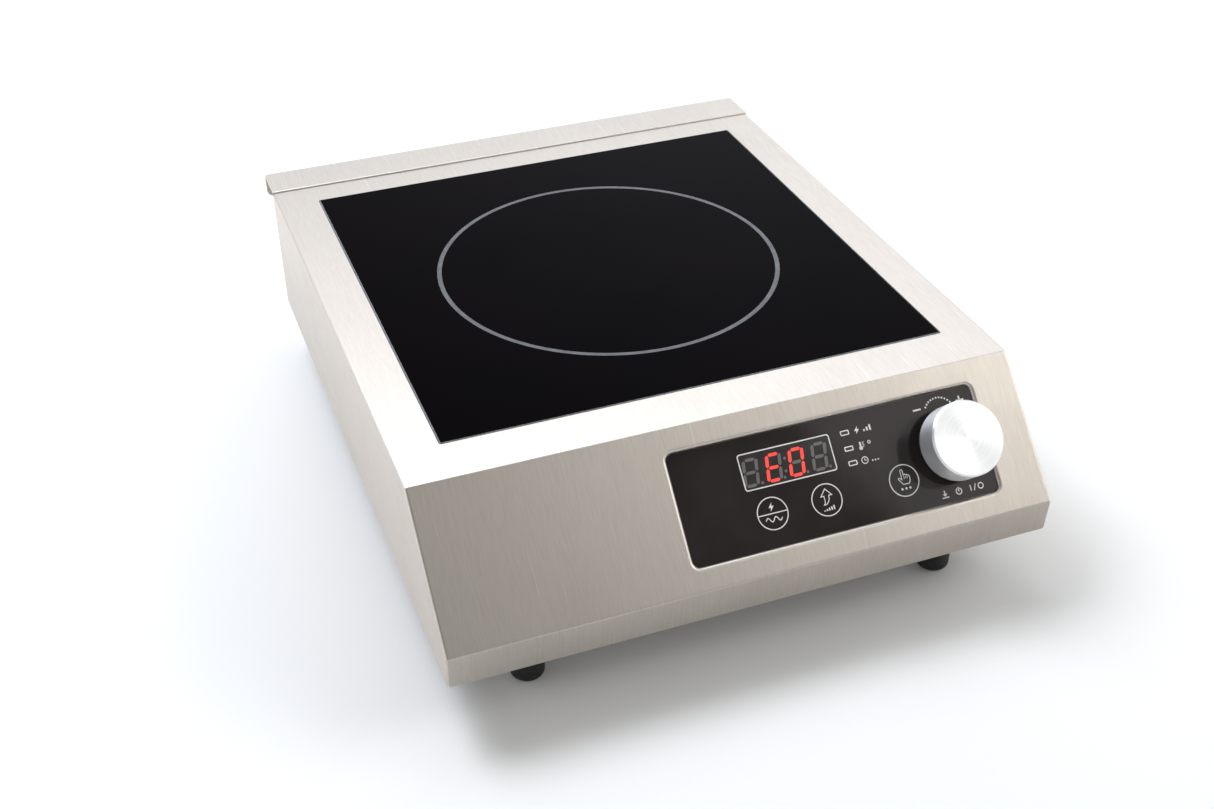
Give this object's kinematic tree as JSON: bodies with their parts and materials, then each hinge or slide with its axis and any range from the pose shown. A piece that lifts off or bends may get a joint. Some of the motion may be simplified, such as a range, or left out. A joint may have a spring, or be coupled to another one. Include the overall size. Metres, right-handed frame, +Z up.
{
  "type": "induction hob",
  "caption": "Countertop single-zone induction hob: folded steel body, flush black glass, sloped control face with press-and-turn knob, rear hood and rubber feet.",
  "frame": {"origin": "centre of the footprint, on the surface that the feet stand on", "axes": "+Z up, +Y from the control face towards the rear hood, +X to the right of a person facing the controls"},
  "size_m": [0.33, 0.4149, 0.1119],
  "materials": {
    "housing_steel": "brushed, grain running front to back",
    "base_steel": "zinc-coated sheet, matt",
    "black_glass": "polished black glass-ceramic",
    "sealant": "matt silicone",
    "screw_steel": "bright zinc",
    "label_foil": "satin foil, blank",
    "rivet_aluminium": "satin",
    "gland_nylon": "moulded nylon",
    "black_rubber": "matt rubber",
    "overlay_film": "gloss membrane, charcoal brown",
    "zinc_sheet": "zinc-coated sheet",
    "green_board": "solder-masked laminate",
    "nylon_white": "natural nylon",
    "display_plastic": "black display housing",
    "led_plastic": "clear lens, unlit",
    "conductive_foam": "conductive foam",
    "black_plastic": "moulded, fine texture",
    "zinc_die_cast": "nickel plated",
    "knob_aluminium": "spun face, brushed side",
    "mica": "pressed mica and fibre",
    "copper_litz": "enamelled copper strands",
    "former_plastic": "heat-resistant moulding",
    "ferrite": "sintered ferrite",
    "shield_aluminium": "mill finish",
    "silicone_white": "white silicone",
    "capacitor_yellow": "potted box",
    "capacitor_sleeve": "shrink sleeve",
    "terminal_plastic": "moulded polyamide",
    "ceramic_tube": "ceramic fuse body"
  },
  "bodies": {
    "body": {"air_duct": "zinc_sheet", "base_plate": "base_steel", "board_screws": "screw_steel", "board_spacers": "nylon_white", "bridge_rectifier": "black_plastic", "case_screws": "screw_steel", "coil_former": "former_plastic", "coil_posts": "zinc_die_cast", "coil_screws": "screw_steel", "coil_shield": "shield_aluminium", "coil_spacers": "nylon_white", "control_board": "green_board", "control_overlay": "overlay_film", "display_module": "display_plastic", "earth_stud": "screw_steel", "electrolytic_capacitors": "capacitor_sleeve", "encoder_body": "black_plastic", "encoder_bush": "zinc_die_cast", "encoder_nut": "screw_steel", "encoder_washer": "screw_steel", "fan_frame": "black_plastic", "fan_screws": "screw_steel", "fan_stator": "copper_litz", "ferrite_bars": "ferrite", "film_capacitors": "capacitor_yellow", "foot_screws": "screw_steel", "fuse_holder": "terminal_plastic", "fuse_link": "ceramic_tube", "gland_body": "gland_nylon", "gland_cap": "gland_nylon", "gland_insert": "black_rubber", "gland_locknut": "gland_nylon", "glass_plate": "black_glass", "glass_seal": "sealant", "glass_sensor": "silicone_white", "heatsink": "shield_aluminium", "igbts": "black_plastic", "indicator_leds": "led_plastic", "insulation_disc": "mica", "line_choke": "ferrite", "litz_coil": "copper_litz", "m3_nuts": "screw_steel", "m4_nuts": "screw_steel", "panel_backplate": "zinc_sheet", "panel_studs": "screw_steel", "power_board": "green_board", "power_board_screws": "screw_steel", "power_board_spacers": "nylon_white", "rating_plate": "label_foil", "rating_plate_rivets": "rivet_aluminium", "rear_panel": "housing_steel", "rubber_feet": "black_rubber", "terminal_block": "terminal_plastic", "top_housing": "housing_steel", "touch_pads": "conductive_foam"},
    "knob_carrier": {"encoder_plunger": "nylon_white"},
    "knob": {"encoder_shaft": "zinc_die_cast", "knob_core": "black_plastic", "knob_cap": "knob_aluminium"},
    "fan": {"fan_rotor": "black_plastic"}
  },
  "joints": [
    {"name": "knob_press", "type": "slide", "parent": "body", "child": "knob_carrier", "axis": [0, 0.7202, -0.6938], "range_m": [0, 0.0005], "stiffness_N_per_m": 1500, "springref_m": -0.002},
    {"name": "knob_turn", "type": "hinge", "parent": "knob_carrier", "child": "knob", "pos_m": [0.1175, -0.17863, 0.08097], "axis": [0, -0.7202, 0.6938], "continuous": true},
    {"name": "fan_spin", "type": "hinge", "parent": "body", "child": "fan", "pos_m": [-0.098, -0.05, 0.046], "axis": [0, 0, 1], "continuous": true}
  ]
}
